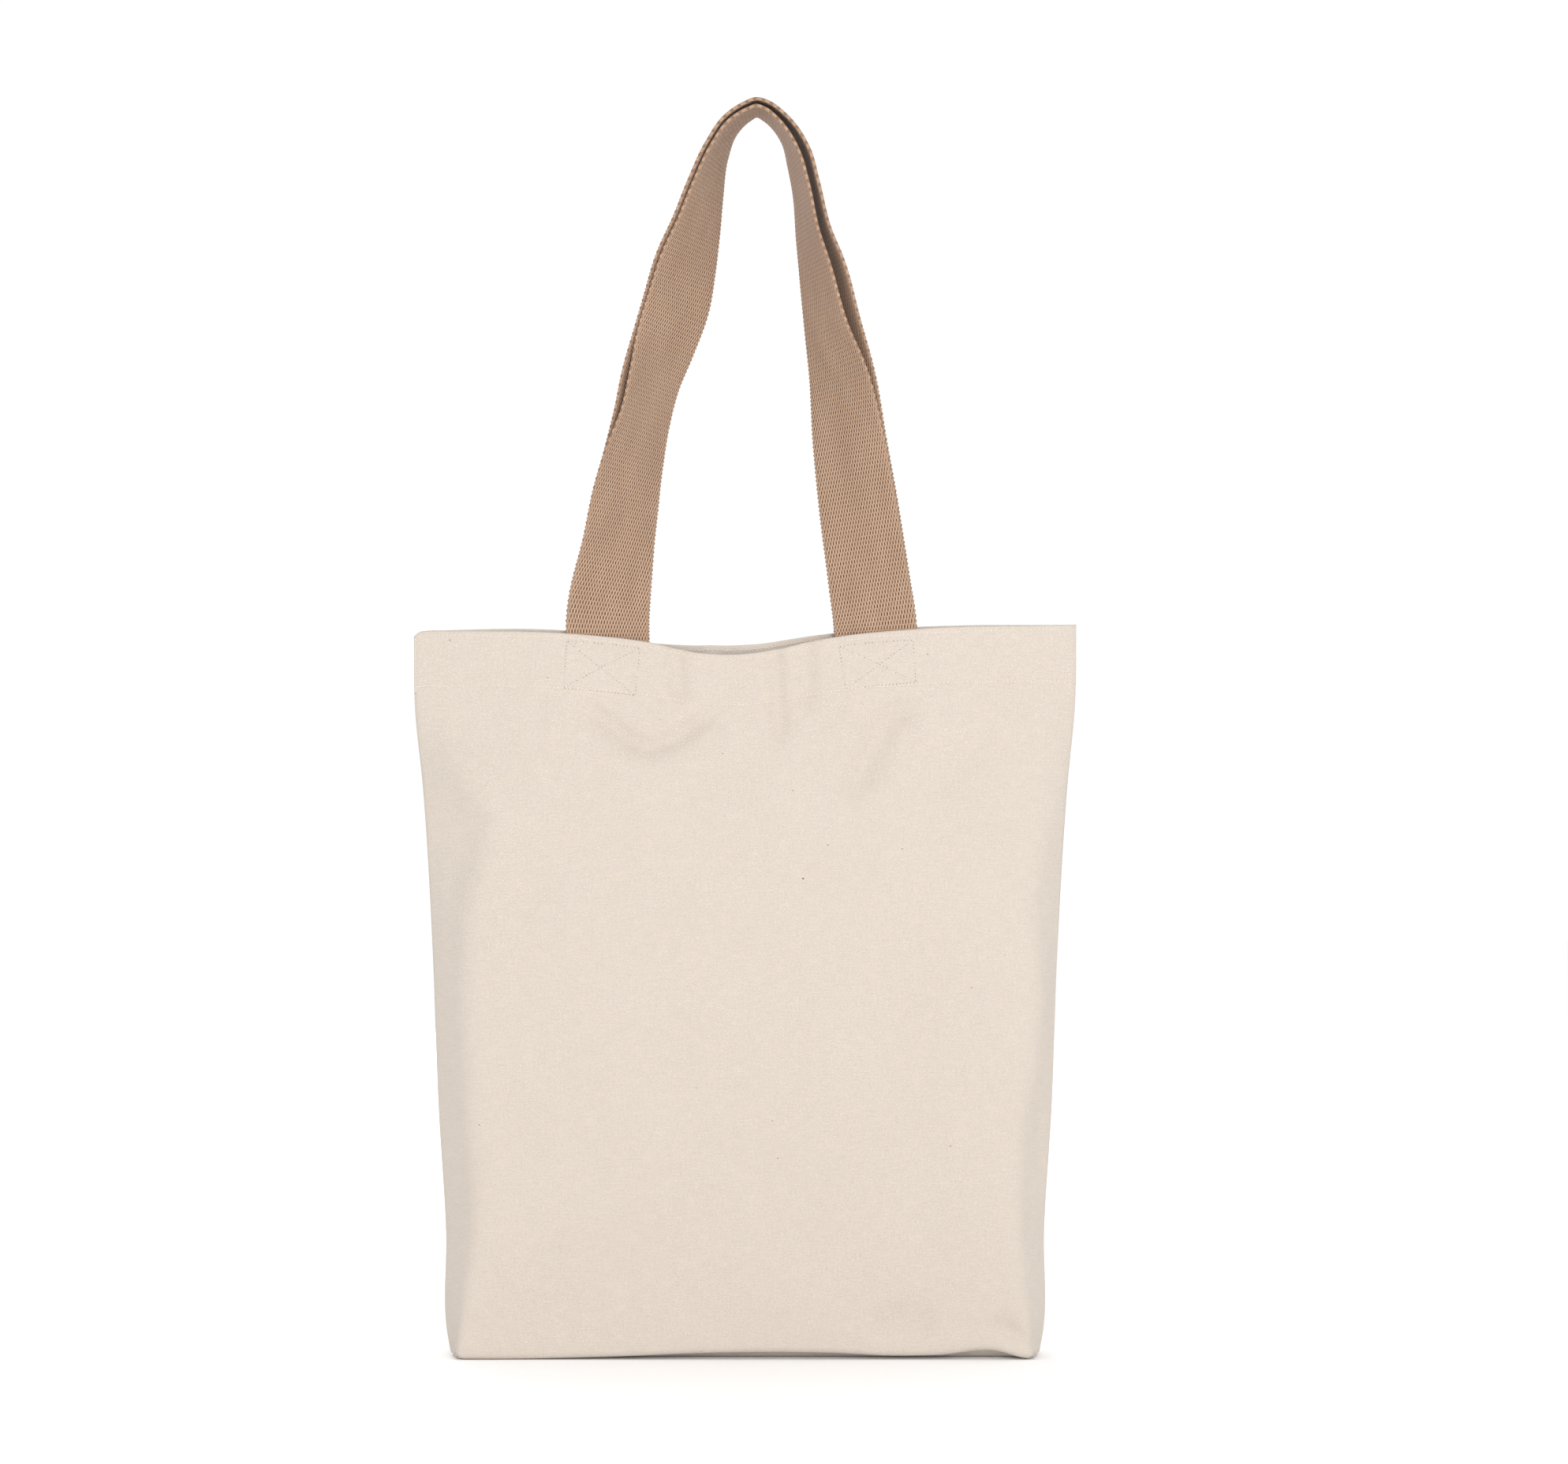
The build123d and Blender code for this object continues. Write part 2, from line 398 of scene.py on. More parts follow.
# ---- the walls -------------------------------------------------------------------------------------
# Half the width of the bag, half its depth, and how softly its boxed folds turn, by height.
side_outline = curve(
    [(0, 177.5), (14, 180.2), (75, 181), (150, 185.5), (245, 189), (342, 194.8), (390, 199.4), (437, 200)]
)
bag_half_depth = curve(
    [(0, 25), (60, 26.5), (150, 27.5), (270, 26), (325, 21.5), (370, 15.2), (408, 10.6), (437, 9.3)]
)
fold_softness = curve([(0, 4), (30, 7), (80, 10), (200, 12), (300, 13), (350, 22), (437, 34)])


class Wall:
    """The cloth of one wall: its outer face as a grid of points, with the way out of each."""

    def __init__(self, facing, folds, mouth_edge, base_edge, shape):
        """facing is -1 for the front and 1 for the back. folds are the places of the left and right
        folds by height. mouth_edge is the height of the mouth and base_edge the lift of the foot,
        by place. shape(x, z) is how far the surface stands out."""
        self.facing = facing
        self.across = self.column_places()
        self.up = self.row_places()
        points, out = self.smooth_surface(folds, mouth_edge, base_edge)
        webbing_here = self.webbing_mask()
        stands = shape(points[..., 0], points[..., 2])
        by_mouth = smoothstep((self.up - mouth_height + 10) / 6)[:, None]
        stands = stands * (1 - webbing_here) + webbing_here * (0.35 - 0.9 * by_mouth)
        edge = smoothstep((half_width - np.abs(self.across)) / 14)[None, :]
        foot = smoothstep((self.up - base_fillet) / 12)[:, None]
        stands = stands * edge * foot + self.grooves()
        self.flat = points + out * stands[..., None]
        self.out = self.normals(self.flat)
        self.outer = self.rounded_seams(self.flat)

    def column_places(self):
        seam_places = half_width - np.array([2.0, 1.2, 0.7, 0.3, 0.0])
        half = np.concatenate([np.arange(0, half_width - 2.5, 1.9), seam_places])
        return np.concatenate([-half[:0:-1], half])

    def row_places(self):
        fillet_rows = np.linspace(-base_fillet * math.pi / 2, 0, 6)[:-1] + base_fillet
        sewn = [hem_stitch_row, top_stitch_row]
        plain = np.arange(base_fillet, mouth_height - hem_thickness / 2 - 0.5, 2.2)
        plain = plain[np.all([np.abs(plain - row) > 3.3 for row in sewn], axis=0)]
        fine = np.concatenate([row + np.arange(-3.2, 3.3, 0.8) for row in sewn])
        rows = np.concatenate([fillet_rows, plain, fine[fine < mouth_height - hem_thickness / 2 - 0.2]])
        return np.append(np.sort(rows), mouth_height - hem_thickness / 2)

    def half_section(self, up, fold, place):
        """Slope into the depth of the bag at each place on one half, and the points it leads to."""
        tuck = half_width - side_outline(up)
        flank = half_width - fold(up)
        steep = np.sqrt(1 - np.clip(1 - tuck / flank, 0, 1) ** 2)
        soft = fold_softness(up)
        boxed = steep * smoothstep((place - fold(up) + soft) / (2 * soft))
        crown = smoothstep((place - wall_edge * 0.8) / (wall_edge * 0.6)) + 0 * up
        step = np.diff(place, axis=1)

        def added(values):
            """Sum from the middle of the wall outwards."""
            parts = (values[:, 1:] + values[:, :-1]) / 2 * step
            return np.concatenate([np.zeros((len(up), 1)), np.cumsum(parts, axis=1)], axis=1)

        wanted = bag_half_depth(up) - seam_half_gap
        rest = (wanted - added(boxed)[:, -1:]) / added(crown)[:, -1:]
        slope = np.clip(boxed + rest * crown, -0.999, 0.999)
        level = np.sqrt(1 - slope**2)
        reach = added(level)
        reach = reach * side_outline(up) / reach[:, -1:]
        return slope, level, reach, wanted - added(slope) + seam_half_gap

    def smooth_surface(self, folds, mouth_edge, base_edge):
        up = np.maximum(self.up, base_fillet)[:, None]
        middle = len(self.across) // 2
        place = self.across[None, middle:]
        halves = [self.half_section(up, fold, place) for fold in folds]
        x = np.concatenate([-halves[0][2][:, :0:-1], halves[1][2]], axis=1)
        y = np.concatenate([halves[0][3][:, :0:-1], halves[1][3]], axis=1)
        out_x = np.concatenate([-halves[0][0][:, :0:-1], halves[1][0]], axis=1)
        out_y = np.concatenate([halves[0][1][:, :0:-1], halves[1][1]], axis=1)
        turned = (base_fillet - self.up) / base_fillet
        turned = np.clip(turned, 0, math.pi / 2)[:, None]
        inward = base_fillet * (1 - np.cos(turned))
        z = np.where(turned > 0, base_fillet * (1 - np.sin(turned)), self.up[:, None])
        sag = mouth_edge(x) - mouth_height
        lift = base_edge(x)
        z = z + sag * smoothstep((up - 315) / (mouth_height - 315)) + lift * (1 - smoothstep(up / 55))
        level = np.cos(turned)
        out = np.stack([out_x * level, self.facing * out_y * level, -np.sin(turned) + 0 * x], axis=-1)
        points = np.stack([x - inward * out_x, self.facing * (y - inward * out_y), z], axis=-1)
        return points, out

    def webbing_mask(self):
        """1 where the end of a handle is sewn behind the cloth, 0 away from it."""
        mask = np.zeros((len(self.up), len(self.across)))
        above = smoothstep((self.up - webbing_bottom + 3) / 5)[:, None]
        for centre in (left_webbing_x, right_webbing_x):
            beside = smoothstep((webbing_width / 2 + 4 - np.abs(self.across - centre)) / 6)[None, :]
            mask = np.maximum(mask, beside * above)
        return mask

    def grooves(self):
        """Lines that the stitching pulls in, and the small puckers beside them."""
        up, across = self.up[:, None], self.across[None, :]
        depth = np.zeros((len(self.up), len(self.across)))
        for row, seed, pull in ((hem_stitch_row, 11, 1.0), (top_stitch_row, 12, 0.5)):
            away = np.abs(up - row)
            puckers = waves(across, 0 * up, seed, 13, 5)
            depth += pull * (0.24 * puckers * np.exp(-away / 5.0) - 0.28 * np.exp(-((away / 0.9) ** 2)))
        return depth

    def normals(self, points):
        down = np.gradient(points, axis=0)
        along = np.gradient(points, axis=1)
        return unit(np.cross(along, down)) * -self.facing

    def rounded_seams(self, points):
        """The outer face turned in along both side seams, so that a seam is a narrow groove."""
        near = smoothstep((np.abs(self.across) - half_width + 1.6) / 1.6)[None, :, None]
        turned = points - self.out * 0.55 * near**2
        turned[..., 1] = turned[..., 1] * (1 - near[..., 0]) - self.facing * 0.1 * near[..., 0]
        return turned

    def thickness(self):
        """Cloth, or the three layers of the hem, by row."""
        return np.where(self.up > hem_bottom, hem_thickness, layer)

    def index(self, across, up):
        c = np.interp(across, self.across, np.arange(len(self.across)))
        r = np.interp(up, self.up, np.arange(len(self.up)))
        return r, c

    def read(self, grid, across, up):
        r, c = self.index(across, up)
        r0 = np.minimum(r.astype(int), len(self.up) - 2)
        c0 = np.minimum(c.astype(int), len(self.across) - 2)
        a, b = (r - r0)[..., None], (c - c0)[..., None]
        low = grid[r0, c0] * (1 - b) + grid[r0, c0 + 1] * b
        high = grid[r0 + 1, c0] * (1 - b) + grid[r0 + 1, c0 + 1] * b
        return low * (1 - a) + high * a

    def at(self, across, up, inside=0.0):
        """Points on the cloth and the way out of it there; inside is how far behind its outer face."""
        out = unit(self.read(self.out, across, up))
        return self.read(self.outer, across, up) - out * inside, out

    def half_mesh(self, name, side):
        """One half as a closed mesh: up the outer face, over the hem and down the inner one."""
        middle = len(self.across) // 2
        columns = slice(0, middle + 1) if side < 0 else slice(middle, None)
        outer, out, flat = self.outer[:, columns], self.out[:, columns], self.flat[:, columns]
        across = self.across[columns]
        rounds = np.linspace(0, math.pi, 8)[1:-1]
        radius = hem_thickness / 2
        rise = unit(outer[-1] - outer[-3])
        centre = outer[-1] - out[-1] * radius
        over = [centre + radius * (math.cos(a) * out[-1] + math.sin(a) * rise) for a in rounds]
        inner = flat - out * self.thickness()[:, None, None]
        points = np.concatenate([outer, np.array(over), inner[::-1]])
        heights = np.concatenate([self.up, self.up[-1] + radius * np.sin(rounds), self.up[::-1]])
        rows, width = points.shape[:2]
        faces = grid_faces(rows, width, ring=True)
        seam_column = 0 if side < 0 else width - 1
        rim = [r * width + seam_column for r in range(rows)]
        last = len(self.up) - 1
        for r in range(last):
            faces.append((rim[r], rim[r + 1], rim[rows - 2 - r], rim[rows - 1 - r]))
        faces.append(tuple(rim[last : rows - last]))
        uv = np.stack(np.broadcast_arrays(across[None, :], heights[:, None]), axis=-1) * MM
        return make_mesh(name, points.reshape(-1, 3), faces, canvas, uv.reshape(-1, 2))


def blend_to_wall(left, right, wall_body):
    """Both halves baked into place, then joined and welded into one piece."""
    for half, side in ((left, -1), (right, 1)):
        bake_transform(half)
    join(left, right)
    weld(left)
    return left


def dent(path, depth, width, fade=0.25):
    """A crease along a path of (x, z): depth below the surface, or above it if negative."""

    def stands(x, z):
        away, along = distance_to_path(x, z, path)
        ends = smoothstep(along / fade) * smoothstep((1 - along) / fade)
        return -depth * np.exp(-((away / width) ** 2)) * ends

    return stands


# Places of the left and the right fold by height, then edges of the mouth and the foot by place.
front_folds = (
    curve(
        [(0, 175), (40, 169), (90, 164), (160, 165), (235, 166), (280, 161), (316, 152), (350, 168)]
        + [(383, 190), (437, 192)]
    ),
    curve(
        [(0, 175), (35, 170), (100, 165), (150, 167), (186, 171), (235, 173), (265, 170), (307, 175)]
        + [(350, 184), (437, 193)]
    ),
)
back_folds = (
    curve([(0, 175), (60, 168), (150, 166), (260, 163), (330, 168), (385, 188), (437, 192)]),
    curve([(0, 175), (50, 170), (140, 164), (240, 168), (320, 160), (380, 186), (437, 192)]),
)
front_mouth = curve(
    [(-200, 433.5), (-197.5, 435.9), (-192, 436.8), (-182, 437), (-155, 436.8), (-109, 435.5)]
    + [(-59, 430.3), (-26, 423.6), (-8, 422.8), (20, 426), (39, 430.3), (60, 434), (103, 438), (199, 440.8)]
)
back_mouth = curve(
    [(-200, 433.5), (-197.5, 435.9), (-192, 437.1), (-182, 437.5), (-109, 437.4), (-50, 429.3)]
    + [(-22, 428.2), (8, 429.2), (39, 434), (70, 437.5), (130, 440.5), (199, 440.8)]
)
front_foot = curve(
    [(-178, 0.3), (-139, 0.2), (-81, 1.5), (-15, 4), (53, 3.8), (88, 2.2), (116, 2.6), (150, 5.2)]
    + [(168, 0.8), (178, 0.4)]
)
back_foot = curve([(-178, 0.3), (-120, 1.6), (-40, 3.2), (60, 2.2), (130, 1.0), (178, 0.4)])

front_creases = [
    dent([(-110, 397), (-84, 383), (-70, 371), (-56, 367), (-40, 373), (-22, 386), (-8, 390)], 4.2, 6),
    dent([(-100, 372), (-78, 358), (-56, 350), (-34, 358), (-14, 374)], -1.2, 11),
    dent([(-42, 440), (-41, 412), (-38, 390)], 3.2, 5.5),
    dent([(17, 440), (19, 402), (22, 362)], 3.6, 6),
    dent([(36, 440), (37, 412), (36, 384)], 3.0, 7),
    dent([(104, 400), (84, 380), (70, 352), (52, 334)], 5.0, 10),
    dent([(148, 384), (128, 352), (112, 332)], 2.2, 10),
    dent([(-188, 378), (-166, 352), (-147, 324), (-152, 296), (-164, 266)], -2.8, 12),
    dent([(-123, 400), (-122, 378)], 1.4, 4),
    dent([(70, 14), (92, 24), (118, 17)], 2.8, 11),
    dent([(146, 26), (166, 10), (182, 0)], 3.2, 7),
    dent([(41, 268), (40, 320), (44, 380)], 1.0, 14),
    dent([(-150, 296), (-128, 282), (-136, 258)], 1.4, 12),
    dent([(-152, 160), (-131, 140), (-140, 112)], 1.6, 13),
    dent([(-10, 404), (-6, 380), (-12, 350)], -1.0, 13),
    dent([(-160, 60), (-148, 34), (-162, 8)], 1.4, 11),
]
back_creases = [
    dent([(-60, 402), (-48, 380), (-20, 366), (6, 374)], 2.0, 8),
    dent([(30, 398), (46, 372), (74, 360)], 1.6, 9),
    dent([(-20, 430), (-22, 396)], 1.1, 5),
    dent([(120, 330), (96, 300), (60, 292)], 1.3, 14),
    dent([(-140, 250), (-112, 222), (-118, 190)], 1.6, 15),
    dent([(-170, 24), (-152, 10)], 1.8, 7),
    dent([(150, 100), (132, 70), (146, 40)], 1.5, 12),
]


def wall_shape(creases, seed, slump):
    """How far a wall stands out: slow undulation, creases, and the hem fallen in between the straps."""
    slump_width = 38
    slump_bottom = 398
    slump_height = 28

    def stands(x, z):
        total = 1.1 * waves(x, z, seed, 210, 90) + 0.28 * waves(x, z, seed + 1, 60, 26)
        for crease in creases:
            total = total + crease(x, z)
        fallen = smoothstep((z - slump_bottom) / slump_height)
        return total - slump * np.exp(-((x / slump_width) ** 2)) * fallen

    return stands


def make_wall(name, wall, wall_body, replaced):
    left = wall.half_mesh(name, -1)
    right = wall.half_mesh(name + "_right", 1)
    piece = blend_to_wall(left, right, wall_body)
    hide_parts(*replaced)
    return piece


front = Wall(-1, front_folds, front_mouth, front_foot, wall_shape(front_creases, SEED, slump=1.5))
back = Wall(1, back_folds, back_mouth, back_foot, wall_shape(back_creases, SEED + 20, slump=6.5))
front_cloth = make_wall(
    "front_panel_cloth",
    front,
    "front_wall",
    ["front_panel", "front_hem", "front_left_flank", "front_right_flank", "left_hem_end"],
)
back_cloth = make_wall(
    "back_panel_cloth",
    back,
    "back_wall",
    ["back_panel", "back_hem", "back_left_flank", "back_right_flank", "right_hem_end"],
)


# ---- the base --------------------------------------------------------------------------------------
def make_base(name, wall, node):
    """Half of the base, from the foot of a wall to the bottom seam, with the seam's edge turned up."""
    outline = wall.outer[0].copy()
    shares = np.concatenate([np.linspace(0, 0.9, 12), [0.94, 0.97, 0.985, 1.0]])[:, None]
    x = outline[None, :, 0]
    y = outline[None, :, 1] * (1 - shares) + wall.facing * 0.05
    sag = outline[None, :, 2] * (1 - smoothstep(shares * 1.6)) + 0.25
    soft = 0.12 * waves(x, y, SEED + 40, 80, 30) * smoothstep(shares * 3) * smoothstep((1 - shares) * 8)
    seam = 0.8 * smoothstep((2.2 - np.abs(y)) / 2.2)
    z = np.maximum(sag + soft, 0.02) + seam
    lower = np.stack(np.broadcast_arrays(x, y, z), axis=-1)
    upper = lower + [0, 0, layer]
    upper[0] = wall.flat[0] - wall.out[0] * layer
    points = np.concatenate([lower, upper[::-1]])
    rows, columns = points.shape[:2]
    faces = grid_faces(rows, columns, ring=True)
    uv = points[..., :2] * MM
    piece = make_mesh(name, points.reshape(-1, 3), faces, canvas, uv.reshape(-1, 2))
    weld(piece)
    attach(piece, "bag")
    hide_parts(node)
    return piece


front_base = make_base("front_base_cloth", front, "front_base")
back_base = make_base("back_base_cloth", back, "back_base")


# ---- stitching -------------------------------------------------------------------------------------
def thread_points(wall, path, pitch, radius, inside, cover, sink, draw):
    """Stitches along a path of (across, up): one closed capsule each, sunk at its ends."""
    path = np.array(path, float)
    lengths = np.linalg.norm(np.diff(path, axis=0), axis=1)
    ends = np.concatenate([[0], np.cumsum(lengths)])
    count = max(int(round(ends[-1] / pitch)), 1)
    spread = np.array([-1.0, -0.86, -0.4, 0.4, 0.86, 1.0])
    girth = np.array([0.3, 0.75, 1.0, 1.0, 0.75, 0.3]) * radius
    arch = np.array([-0.9, -0.1, 0.55, 0.55, -0.1, -0.9]) * radius
    height = arch[None, :] - sink * draw.uniform(0, 1, (count, 1)) * (inside <= 0)
    where = (np.arange(count)[:, None] + 0.5 + spread[None, :] * cover / 2) * ends[-1] / count
    across = np.interp(where, ends, path[:, 0])
    up = np.interp(where, ends, path[:, 1])
    spot, out = wall.at(across, up, inside)
    face = -1.0 if inside > 0 else 1.0
    centre = spot + out * (height * face)[:, :, None]
    run = unit(np.gradient(spot, axis=1))
    beside = np.cross(run, out)
    turns = np.arange(6) * math.pi / 3
    ring = np.cos(turns)[:, None] * beside[:, :, None, :] + np.sin(turns)[:, None] * out[:, :, None, :]
    points = centre[:, :, None, :] + ring * girth[None, :, None, None]
    uv = np.stack(np.broadcast_arrays(where[:, :, None], turns * radius), axis=-1) * MM
    return points.reshape(-1, 3), uv.reshape(-1, 2), count


def capsule_faces(count, rings=6, sides=6):
    faces = []
    for k in range(count):
        first = k * rings * sides
        faces += grid_faces(rings, sides, first=first, tube=True)
        faces.append(tuple(range(first + sides - 1, first - 1, -1)))
        faces.append(tuple(range(first + (rings - 1) * sides, first + rings * sides)))
    return faces


def stitches(name, wall, paths, pitch, radius, cover, insides, material):
    """One mesh of stitches along (path, sink) pairs, on the outer face and on the inner ones."""
    points, uvs, total = [], [], 0
    draw = np.random.default_rng(SEED + 30)
    for path, sink in paths:
        for inside in insides:
            p, uv, count = thread_points(wall, path, pitch, radius, inside, cover, sink, draw)
            points.append(p)
            uvs.append(uv)
            total += count
    return make_mesh(name, np.concatenate(points), capsule_faces(total), material, np.concatenate(uvs))


def hem_stitching(name, wall, wall_body, node):
    halves = []
    for side in (-1, 1):
        reach = side * (half_width - 2.4)
        paths = [
            ([(reach, hem_stitch_row), (0, hem_stitch_row)], hem_stitch_sink),
            ([(reach, top_stitch_row), (0, top_stitch_row)], top_stitch_sink),
        ]
        half_name = name + "_right" if side > 0 else name
        insides = (0, hem_thickness)
        half = stitches(
            half_name, wall, paths, pitch=2.4, radius=0.3, cover=0.6, insides=insides, material=hem_thread
        )
        halves.append(half)
    piece = blend_to_wall(*halves, wall_body)
    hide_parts(node)
    return piece


def box_stitch(name, wall, corners, wall_body, node):
    a, b, c, d = corners
    paths = [([p, q], box_stitch_sink) for p, q in ((a, b), (b, c), (c, d), (d, a), (a, c), (b, d))]
    insides = (0, hem_thickness + strap_thickness + 0.1)
    piece = stitches(
        name, wall, paths, pitch=2.15, radius=0.24, cover=0.36, insides=insides, material=box_thread
    )
    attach(piece, wall_body)
    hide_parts(node)
    return piece


left_box = [(-107, 432.5), (-63, 432.5), (-66, 402.5), (-109, 403.5)]
right_box = [(56.5, 431), (101, 430.5), (102.5, 405), (60.5, 404)]
front_threads = hem_stitching("front_hem_threads", front, "front_wall", "front_hem_stitching")
back_threads = hem_stitching("back_hem_threads", back, "back_wall", "back_hem_stitching")
for label, wall in (("front", front), ("back", back)):
    box_stitch(f"{label}_left_box_threads", wall, left_box, f"{label}_wall", f"{label}_left_box_stitch")
    box_stitch(f"{label}_right_box_threads", wall, right_box, f"{label}_wall", f"{label}_right_box_stitch")


# ---- seam allowances inside ------------------------------------------------------------------------
def seam_strip(name, sewn, free, thickness_way, node, seed):
    """Two cloth edges sewn together: a strip from the sewn line to the free edge, overlocked."""
    sewn, free = np.asarray(sewn, float), np.asarray(free, float)
    way = unit(np.asarray(thickness_way, float))
    lengths = np.concatenate([[0], np.cumsum(np.linalg.norm(np.diff(sewn, axis=0), axis=1))])
    flutter = 0.5 * waves(lengths, 0 * lengths, seed, 40, 14)[:, None]
    one_side = [(0.0, 0.75), (0.5, 0.8), (0.93, 0.7), (1.0, 0.3)]
    section = one_side + [(share, -thick) for share, thick in reversed(one_side)]
    rows = []
    for share, thick in section:
        rows.append(sewn * (1 - share) + free * share + way * (thick + flutter * share))
    points = np.stack(rows, axis=1)
    stations, around = points.shape[:2]
    faces = grid_faces(stations, around, tube=True)
    faces.append(tuple(range(around - 1, -1, -1)))
    faces.append(tuple(range((stations - 1) * around, stations * around)))
    offsets = np.array([0, 4.5, 9, 9.6, 10, 10.6, 15, 19])
    uv = np.stack(np.broadcast_arrays(offsets[None, :], lengths[:, None]), axis=-1) * MM
    strip = make_mesh(name, points.reshape(-1, 3), faces, canvas, uv.reshape(-1, 2))
    loops = overlock(name + "_loops", sewn, free, way, flutter, lengths)
    join(strip, loops)
    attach(strip, "bag")
    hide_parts(node)
    return strip


def overlock(name, sewn, free, way, flutter, lengths):
    """The overlock thread: a flat spring of loops over the free edge."""
    pitch = 2.6
    per_loop = 10
    steps = int(lengths[-1] / pitch) * per_loop
    run = np.linspace(pitch, lengths[-1] - pitch, steps)
    turn = np.arange(steps) * 2 * math.pi / per_loop
    share = 0.72 + 0.34 * np.cos(turn)
    side = 1.15 * np.sin(turn)

    def along(values):
        return np.stack([np.interp(run, lengths, values[:, k]) for k in range(3)], axis=1)

    flutter_here = np.interp(run, lengths, flutter[:, 0])
    line = along(sewn) * (1 - share[:, None]) + along(free) * share[:, None]
    line = line + way * (side + flutter_here * share)[:, None]
    tangent = unit(np.gradient(line, axis=0))
    first = unit(np.cross(tangent, unit(along(free) - along(sewn)) + way * 0.3))
    second = np.cross(tangent, first)
    turns = np.arange(4) * math.pi / 2
    turned_first = np.cos(turns)[None, :, None] * first[:, None, :]
    ring = turned_first + np.sin(turns)[None, :, None] * second[:, None, :]
    points = line[:, None, :] + 0.28 * ring
    faces = grid_faces(steps, 4, tube=True)
    faces.append((3, 2, 1, 0))
    faces.append(tuple(range((steps - 1) * 4, steps * 4)))
    uv = np.stack(np.broadcast_arrays(run[:, None], turns[None, :] * 0.3), axis=-1) * MM
    return make_mesh(name, points.reshape(-1, 3), faces, seam_thread, uv.reshape(-1, 2))


allowance = fin_hi[2] - fin_lo[2]
for label, side in (("left", -1), ("right", 1)):
    heights = np.arange(side_fin_lo[2] + 4, mouth_height - 3, 3.0)
    seam_x = front.flat[:, 0 if side < 0 else -1]
    edge = np.interp(heights, seam_x[:, 2], seam_x[:, 0]) - side * 1.2
    zeros = np.zeros(len(heights))
    sewn_line = np.stack([edge, zeros, heights], axis=1)
    free_line = sewn_line - [side * allowance, 0, 0]
    seam_strip(f"{label}_side_allowance", sewn_line, free_line, (0, 1, 0), f"{label}_side_seam", SEED + side)

spans = np.arange(fin_lo[0], fin_hi[0] + 1, 3.0)
sewn_line = np.stack([spans, 0 * spans, 0 * spans + 1.6], axis=1)
seam_strip("bottom_allowance", sewn_line, sewn_line + [0, 0, allowance], (0, 1, 0), "bottom_seam", SEED + 5)

for label, side in (("left", -1), ("right", 1)):
    spans = np.arange(corner_lo[1], corner_hi[1] + 1, 2.0)
    sewn_line = np.stack([0 * spans + side * (corner_hi[0] + 0.5), spans, 0 * spans + 2.6], axis=1)
    free_line = sewn_line + [-side * allowance, 0, 0.6]
    node = f"{label}_corner_seam"
    seam_strip(f"{label}_corner_allowance", sewn_line, free_line, (0, 0, 1), node, SEED + 9 + side)


# ---- the handles -----------------------------------------------------------------------------------
# Each station of the front strap: x, z, how far it has turned to face sideways in degrees, how far
# behind it the back strap lies, and how far that one has slid along its own width.
strap_stations = [
    (left_webbing_x, webbing_bottom, 0, 10, 0),
    (left_webbing_x - 0.4, 420, 0, 10, 0),
    (-83.0, 438, 4, 10, -0.7),
    (-76.6, 488, 33, 7, -4.6),
    (-71.2, 523, 40.5, 5, -4.3),
    (-66.8, 543, 47, 5, -4.0),
    (-60.8, 565, 55, 6, -1.5),
    (-55.2, 588, 54, 5.7, 0),
    (-48.2, 611, 46, 4.2, -0.7),
    (-40.6, 634, 43, 3.8, -0.4),
    (-35.0, 657, 48.5, 3.6, 0),
    (-28.6, 680, 60, 3.5, 0),
    (-22.9, 703, 69.5, 3.5, 0),
    (-16.1, 725.7, 79, 3.6, 0),
    (-8.0, 741, 85, 3.8, 0),
    (2.0, 749.2, 89, 4.0, 0),
    (7.0, 751.4, 90, 4.1, 0),
    (12.0, 749.4, 89, 4.3, 0),
    (19.0, 743.5, 88, 4.8, 0),
    (25.5, 734.5, 86, 5.6, 0),
    (30.4, 722, 82, 6.2, 0),
    (34.5, 705, 80, 6.0, 0),
    (38.5, 675, 75, 7.4, 0),
    (42.5, 655, 69, 8.8, 1),
    (49.5, 617.6, 59, 8.8, 0.5),
    (57.1, 588, 44.5, 6, -0.7),
    (62.7, 551, 31, 6, -2.2),
    (67.9, 514, 21.5, 7, -1.7),
    (74.8, 466, 12.5, 9, -1.5),
    (78.6, 438, 4, 10, -0.7),
    (right_webbing_x, 420, 0, 10, 0),
    (right_webbing_x, webbing_bottom, 0, 10, 0),
]
apex_height = max(station[1] for station in strap_stations)
selvedge_pitch = 2.6
selvedge_depth = 0.45


def strap_line(step):
    """The front strap's middle line, its turn, and the back strap's gap and slide, at even steps."""
    table = np.array(strap_stations, float)
    gaps = np.linalg.norm(np.diff(table[:, :2], axis=0), axis=1)
    run = np.concatenate([[0], np.cumsum(gaps)])
    channels = [curve(np.stack([run, table[:, k]], axis=1)) for k in range(5)]
    along = np.linspace(0, run[-1], int(run[-1] / step))
    x, z, turn, gap, slide = [channel(along) for channel in channels]
    y = -webbing_y * (1 - smoothstep((z - mouth_height - 6) / (apex_height - mouth_height)))
    return np.stack([x, y, z], axis=1), np.radians(turn), gap, slide


def strap_section(count=14):
    """The webbing's outline across: (across, through) points with rounded selvedges."""
    half = webbing_width / 2
    edge = strap_thickness / 2
    flat = np.linspace(-(half - edge), half - edge, count)
    turns = np.linspace(math.pi / 2, -math.pi / 2, 7)[1:-1]
    top = [(a, edge) for a in flat]
    right = [(half - edge + edge * math.cos(t), edge * math.sin(t)) for t in turns]
    bottom = [(-a, -edge) for a in flat]
    left = [(-p, -q) for p, q in right]
    return np.array(top + right + bottom + left)


